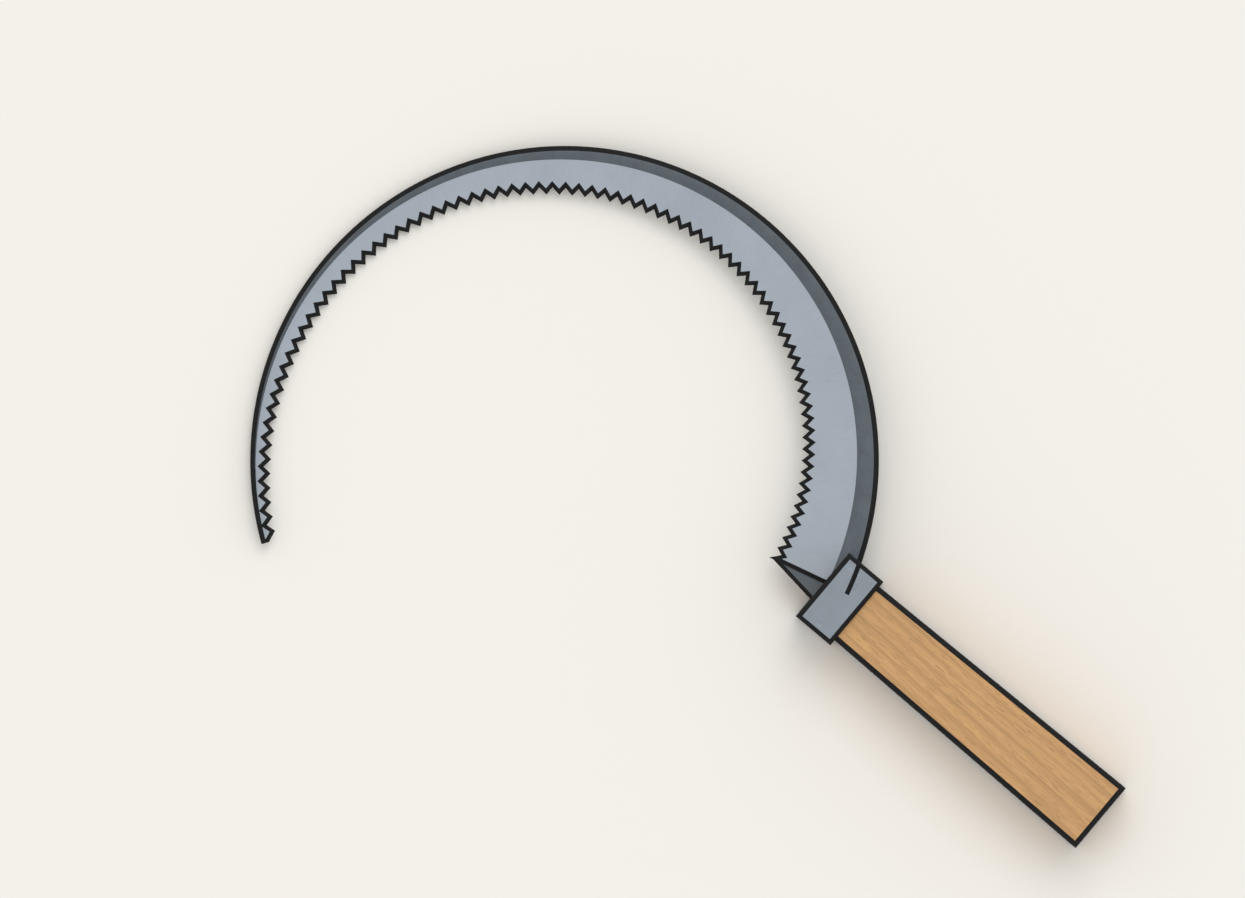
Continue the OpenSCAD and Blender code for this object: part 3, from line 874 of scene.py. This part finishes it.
class SICKLE_OT_rib(SickleOperator, bpy.types.Operator):
    """Make the dark rib that stiffens the blade's back"""

    bl_idname = "sickle.rib"
    bl_label = "Make Back Rib"

    def neck_room(self):
        """The space below the blade where the neck plate takes the lower lip's place."""
        sizes, plane = self.sizes, self.plane
        low_x = plane.neck_fore.x - sizes.slot_gap
        outline = [(low_x, -CUT_OVER), (COLLAR_HIGH.x, -CUT_OVER),
                   (COLLAR_HIGH.x, 2 * COLLAR_HIGH.y), (low_x, 2 * COLLAR_HIGH.y)]
        return prism("neck_room", outline, -sizes.rib_thickness, plane.neck_top, plane.matrix)

    def execute(self, context):
        sizes, plane = self.ready(context)
        tree, identifiers = rib_tree()
        mesh = made_by_nodes("sickle_rib", tree, identifiers, {
            "Back Radius": sizes.back_radius,
            "Heel Angle": sizes.heel_angle,
            "Sweep": sizes.sweep,
            "Even Angle": sizes.rib_even,
            "Heel Width": sizes.rib_heel_width,
            "Point Width": sizes.rib_point_width,
            "Thickness": sizes.rib_thickness,
            "Web": sizes.rib_web,
            "Slope": sizes.rib_slope,
            "Rim Width": sizes.rim_width,
            "Rim Height": sizes.rim_height,
            "Groove": sizes.blade_thickness + 2 * sizes.groove_gap,
            "Band": finish("dark_iron"),
            "Rim": finish("black_edge"),
        })
        mesh.transform(plane.about_centre)
        piece = as_object("sickle_rib", mesh)
        combined(piece, self.neck_room(), "DIFFERENCE", "dark_iron")
        smoothed(piece.data)
        self.hand_over(piece, "dark_iron", "back_rib")
        return {"FINISHED"}


class SICKLE_OT_neck(SickleOperator, bpy.types.Operator):
    """Make the neck plate, the tang and its hammered end"""

    bl_idname = "sickle.neck"
    bl_label = "Make Neck and Tang"

    def plate(self):
        """The neck plate, rounded and dark along its outer edge and plain along the rest."""
        sizes, plane = self.sizes, self.plane
        heel_tip = sizes.back_radius - sizes.heel_depth - sizes.heel_spike
        tip = plane.centre + polar(heel_tip + sizes.neck_lap, sizes.heel_angle)
        half = sizes.tang_diameter / 2 - sizes.slot_gap
        corners = [tip, Vector((COLLAR_LOW.x, -sizes.neck_side, 0.0)),
                   Vector((plane.bend_x, -half, 0.0)), Vector((plane.bend_x, half, 0.0)),
                   Vector((COLLAR_LOW.x + sizes.rivet_shoulder, plane.neck_fore.y, 0.0)),
                   plane.neck_fore]
        n = len(corners)
        plain = sizes.tang_gap
        insets = [sizes.neck_edge] + [plain] * (n - 1)
        inner = [plate_corner(corners[i - 1], corners[i], corners[(i + 1) % n],
                              insets[i - 1], insets[i]) for i in range(n)]
        drop = sizes.rim_height
        rings = [[Vector((c.x, c.y, z)) for c in outline] for outline, z in (
            (inner, plane.neck_bottom), (corners, plane.neck_bottom + drop),
            (corners, plane.neck_top - drop), (inner, plane.neck_top))]
        # Painted shade: the chamfers and the side along the outer edge take the black finish
        mesh = skin("sickle_neck", rings, lambda ring, corner: 1 if corner == 0 else 0)
        mesh.transform(plane.matrix)
        return mesh

    def tang(self):
        """The tang, which swells from the neck and ends at the washer."""
        sizes = self.sizes
        r = sizes.tang_diameter / 2
        bend_x = self.plane.bend_x
        stations = [(bend_x, sizes.neck_thickness / 2), (bend_x + sizes.root_length, r),
                    (WASHER_HIGH.x + sizes.peen_height / 2, r)]
        return turned("tang", stations, self.on_axis)

    def peen(self):
        """The tang's end, which hammer blows have spread over the washer."""
        sizes = self.sizes
        head = sizes.peen_diameter / 2
        profile = ((0.0, 0.97), (0.12, 1.0), (0.3, 0.99), (0.5, 0.93), (0.7, 0.82), (0.86, 0.66),
                   (0.96, 0.42), (1.0, 0.16))
        stations = [(WASHER_HIGH.x + high * sizes.peen_height, head * wide)
                    for high, wide in profile]
        return turned("peen", stations, self.on_axis, 28, 0.06)

    def execute(self, context):
        self.ready(context)
        piece = as_object("sickle_neck", self.plate(), "dark_iron", "black_edge")
        combined(piece, self.tang(), "UNION", "dark_iron")
        combined(piece, self.peen(), "UNION", "dark_iron")
        smoothed(piece.data)
        self.hand_over(piece, "dark_iron", "tang")
        return {"FINISHED"}


class SICKLE_OT_collar(SickleOperator, bpy.types.Operator):
    """Make the steel collar with its dark edges and its crease"""

    bl_idname = "sickle.collar"
    bl_label = "Make Collar"

    def block(self):
        """The collar's outside: rounded along it and over its ends, and square in plan."""
        edge = self.sizes.collar_edge
        width = COLLAR_HIGH.y - COLLAR_LOW.y
        ends = along_rounding(edge)
        front_share = self.sizes.front_edge / edge
        places = [(COLLAR_LOW.x + along * front_share, down) for along, down in ends]
        places += [(COLLAR_HIGH.x - along, down) for along, down in reversed(ends)]
        rings = [across_handle(x, rounded_rectangle(width, COLLAR_HIGH.z - 2 * down, edge),
                               self.plane.axis_z) for x, down in places]

        # Painted shade: the rounded corners and the rounded ends take the black finish
        def shade(ring, corner):
            return 1 if ring != EDGE_STEPS or on_rounded_corner(corner) else 0

        return skin("sickle_collar", rings, shade)

    def bore(self):
        """The space for the wood."""
        sizes = self.sizes
        gap = 2 * sizes.wood_gap
        outline = rounded_rectangle(sizes.front_width + gap, sizes.front_thickness + gap,
                                    sizes.handle_edge)
        return skin("bore", [across_handle(x, outline, self.plane.axis_z)
                             for x in (COLLAR_LOW.x - CUT_OVER, COLLAR_HIGH.x + CUT_OVER)])

    def way_in(self):
        """The space in the collar's side for the blade and the rib."""
        sizes, plane = self.sizes, self.plane
        outer = sizes.back_radius + sizes.slot_gap
        low_y = sizes.front_width / 4
        high_y = COLLAR_HIGH.y + CUT_OVER
        first, last = (asin((y - plane.centre.y) / outer) for y in (low_y, high_y))
        outline = [plane.centre + polar(outer, mix(first, last, k / 12)) for k in range(13)]
        outline += [(2 * COLLAR_LOW.x, high_y), (2 * COLLAR_LOW.x, low_y)]
        half = sizes.rib_thickness / 2 + sizes.slot_gap
        return prism("way", outline, -half, half, plane.matrix)

    def crease(self):
        """The dark crease over the rib's outer edge, its walls black as painted shade."""
        sizes, plane = self.sizes, self.plane
        inner = sizes.back_radius - sizes.crease_width
        last = asin((COLLAR_HIGH.y + CUT_OVER - plane.centre.y) / sizes.back_radius)
        angles = [mix(sizes.heel_angle, last, k / 16) for k in range(17)]
        outline = [plane.centre + polar(sizes.back_radius, a) for a in angles]
        outline += [plane.centre + polar(inner, a) for a in reversed(angles)]
        top = COLLAR_HIGH.z
        return prism("crease", outline, top - sizes.crease_depth, top + CUT_OVER)

    def execute(self, context):
        sizes, plane = self.ready(context)
        piece = as_object("sickle_collar", self.block(), "collar_steel", "black_edge")
        combined(piece, self.bore(), "DIFFERENCE", "collar_steel")
        combined(piece, self.way_in(), "DIFFERENCE", "collar_steel")
        combined(piece, self.crease(), "DIFFERENCE", "black_edge")
        # The pin holes' walls take the black finish as painted shade
        for hole in pin_holes(sizes, plane.axis_z):
            combined(piece, hole, "DIFFERENCE", "black_edge")
        smoothed(piece.data)
        self.hand_over(piece, "collar_steel", "collar")
        return {"FINISHED"}


class SICKLE_OT_handle(SickleOperator, bpy.types.Operator):
    """Make the wooden handle with its dark corners"""

    bl_idname = "sickle.handle"
    bl_label = "Make Handle"

    def grip(self):
        """The wood behind the collar, which widens steadily to its butt."""
        sizes, plane = self.sizes, self.plane
        edge = sizes.handle_edge
        butt_width = HANDLE_HIGH.y - HANDLE_LOW.y
        butt_thickness = HANDLE_HIGH.z - HANDLE_LOW.z
        front = rounded_rectangle(sizes.front_width, sizes.front_thickness, edge)
        rings = [across_handle(COLLAR_HIGH.x, front, plane.axis_z)]
        for along, down in reversed(along_rounding(edge)):
            outline = rounded_rectangle(butt_width, butt_thickness - 2 * down, edge)
            rings.append(across_handle(HANDLE_HIGH.x - along, outline, plane.axis_z))

        # Painted shade: the rounded corners and the rounded butt take the black finish
        def shade(ring, corner):
            return 1 if ring > 0 or on_rounded_corner(corner) else 0

        return skin("sickle_handle", rings, shade)

    def nose(self):
        """The wood inside the collar."""
        sizes = self.sizes
        outline = rounded_rectangle(sizes.front_width, sizes.front_thickness, sizes.handle_edge)
        return skin("nose", [across_handle(x, outline, self.plane.axis_z)
                             for x in (HANDLE_LOW.x, COLLAR_HIGH.x + sizes.handle_edge)])

    def slots(self):
        """The wide slot for the neck, its wedge and the rivets, and above it the slot for the
        blade and the rib. Both are open in front and at the blade's side."""
        sizes, plane = self.sizes, self.plane
        gap = sizes.slot_gap
        bottom = plane.neck_bottom - sizes.wedge_thickness - sizes.pin_gap
        top = sizes.rib_thickness / 2 + sizes.rivet_head + gap
        front, end = HANDLE_LOW.x - CUT_OVER, plane.bend_x + gap
        far = COLLAR_HIGH.y + CUT_OVER
        for side, low, high in ((-sizes.neck_side, bottom, plane.neck_top + gap),
                                (plane.heel_y(HANDLE_LOW.x), plane.neck_top, top)):
            outline = [(front, side - gap), (end, side - gap), (end, far), (front, far)]
            yield prism("slot", outline, low, high, plane.matrix)

    def tang_bore(self):
        """The bore for the tang, and the washer's recess in the butt."""
        sizes = self.sizes
        bore = sizes.tang_diameter / 2 + sizes.tang_gap
        recess = WASHER_HIGH.y + sizes.slot_gap
        stations = [(0.0, bore), (WASHER_LOW.x, bore), (WASHER_LOW.x, recess),
                    (HANDLE_HIGH.x + CUT_OVER, recess)]
        return turned("bore", stations, self.on_axis, 64)

    def execute(self, context):
        sizes, plane = self.ready(context)
        piece = as_object("sickle_handle", self.grip(), "handle_wood", "black_edge")
        combined(piece, self.nose(), "UNION", "handle_wood")
        for slot in self.slots():
            combined(piece, slot, "DIFFERENCE", "handle_wood")
        combined(piece, self.tang_bore(), "DIFFERENCE", "handle_wood")
        for hole in pin_holes(sizes, plane.axis_z):
            combined(piece, hole, "DIFFERENCE", "handle_wood")
        smoothed(piece.data)
        self.hand_over(piece, "handle_wood", "handle")
        return {"FINISHED"}


class SICKLE_OT_fastenings(SickleOperator, bpy.types.Operator):
    """Finish the rivets, the pins, the washer and the wedge, whose shapes are the frame's"""

    bl_idname = "sickle.fastenings"
    bl_label = "Finish Rivets, Pins, Washer and Wedge"

    def execute(self, context):
        for node, key in (("blade_rivets", "dark_iron"), ("collar_pins", "pin_steel"),
                          ("tang_washer", "pin_steel"), ("neck_wedge", "split_wood")):
            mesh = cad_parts[node].data
            mesh.materials.clear()
            mesh.materials.append(finish(key))
        return {"FINISHED"}


class SICKLE_OT_stage(SickleOperator, bpy.types.Operator):
    """Set the floor, the soft light and the camera"""

    bl_idname = "sickle.stage"
    bl_label = "Set Stage"

    def floor(self):
        reach = 12.0
        corners = [(-reach, -reach, 0.0), (reach, -reach, 0.0), (reach, reach, 0.0),
                   (-reach, reach, 0.0)]
        mesh = mesh_of("floor", corners, [[0, 1, 2, 3]])
        as_object("floor", mesh, "floor")

    def world(self, stage, colours):
        """Even white light, which a camera, gloss or glass sees in the floor's colour."""
        world = bpy.data.worlds.new("studio")
        world.use_nodes = True
        f = Formula(world.node_tree)
        light = world.node_tree.nodes["Background"]
        f.feed(light.inputs["Color"], (1.0, 1.0, 1.0, 1.0))
        f.feed(light.inputs["Strength"], stage.world_strength)
        seen = f.node("ShaderNodeBackground", linear(colours.floor), 1.0)
        path = f.node("ShaderNodeLightPath")
        shows = f.math("MAXIMUM", path.outputs["Is Camera Ray"], path.outputs["Is Glossy Ray"])
        shows = f.math("MAXIMUM", shows, path.outputs["Is Transmission Ray"])
        both = f.node("ShaderNodeMixShader", shows, light.outputs[0], seen.outputs[0])
        output = world.node_tree.nodes["World Output"]
        f.feed(output.inputs["Surface"], both.outputs[0])
        bpy.context.scene.world = world

    def lamp(self, stage):
        """A broad, soft key light from up and to the left of the picture."""
        data = bpy.data.lights.new("key", "SUN")
        data.angle = stage.key_spread
        data.energy = stage.key_strength
        lamp = bpy.data.objects.new("key", data)
        direction = Vector(stage.key_from)
        lamp.location = direction
        lamp.rotation_mode = "QUATERNION"
        lamp.rotation_quaternion = (-direction).to_track_quat("-Z", "Y")
        bpy.context.scene.collection.objects.link(lamp)

    def camera(self, stage):
        data = bpy.data.cameras.new("camera")
        data.sensor_width = 36.0
        data.lens = data.sensor_width * stage.view_height / stage.view_width
        data.clip_end = 4 * stage.view_height
        camera = bpy.data.objects.new("camera", data)
        camera.location = Vector(stage.view_centre) + Vector((0.0, 0.0, stage.view_height))
        camera.rotation_euler = (0.0, 0.0, stage.view_turn)
        bpy.context.scene.collection.objects.link(camera)
        bpy.context.scene.camera = camera

    def execute(self, context):
        stage = context.scene.sickle_stage
        self.floor()
        self.world(stage, context.scene.sickle_colours)
        self.lamp(stage)
        self.camera(stage)
        context.scene.view_settings.view_transform = "Standard"
        return {"FINISHED"}


STEPS = (SICKLE_OT_stage, SICKLE_OT_blade, SICKLE_OT_rib, SICKLE_OT_neck, SICKLE_OT_collar,
         SICKLE_OT_handle, SICKLE_OT_fastenings)
GROUPS = (("sickle_sizes", SickleSizes), ("sickle_colours", SickleColours),
          ("sickle_stage", SickleStage))


class SICKLE_PT_making(bpy.types.Panel):
    """Lists the steps that make the sickle"""

    bl_label = "Serrated Sickle"
    bl_idname = "SICKLE_PT_making"
    bl_space_type = "VIEW_3D"
    bl_region_type = "UI"
    bl_category = "Sickle"

    def draw(self, context):
        for step in STEPS:
            self.layout.operator(step.bl_idname)
        for attribute, group in GROUPS:
            column = self.layout.column(align=True)
            values = getattr(context.scene, attribute)
            for name in group.__annotations__:
                column.prop(values, name)


def register():
    for attribute, group in GROUPS:
        bpy.utils.register_class(group)
        setattr(bpy.types.Scene, attribute, PointerProperty(type=group))
    for step in STEPS:
        bpy.utils.register_class(step)
    bpy.utils.register_class(SICKLE_PT_making)


def unregister():
    bpy.utils.unregister_class(SICKLE_PT_making)
    for step in reversed(STEPS):
        bpy.utils.unregister_class(step)
    for attribute, group in reversed(GROUPS):
        delattr(bpy.types.Scene, attribute)
        bpy.utils.unregister_class(group)


def main():
    register()
    bpy.ops.sickle.stage()
    bpy.ops.sickle.blade()
    bpy.ops.sickle.rib()
    bpy.ops.sickle.neck()
    bpy.ops.sickle.collar()
    bpy.ops.sickle.handle()
    bpy.ops.sickle.fastenings()


if __name__ == "__main__":
    main()
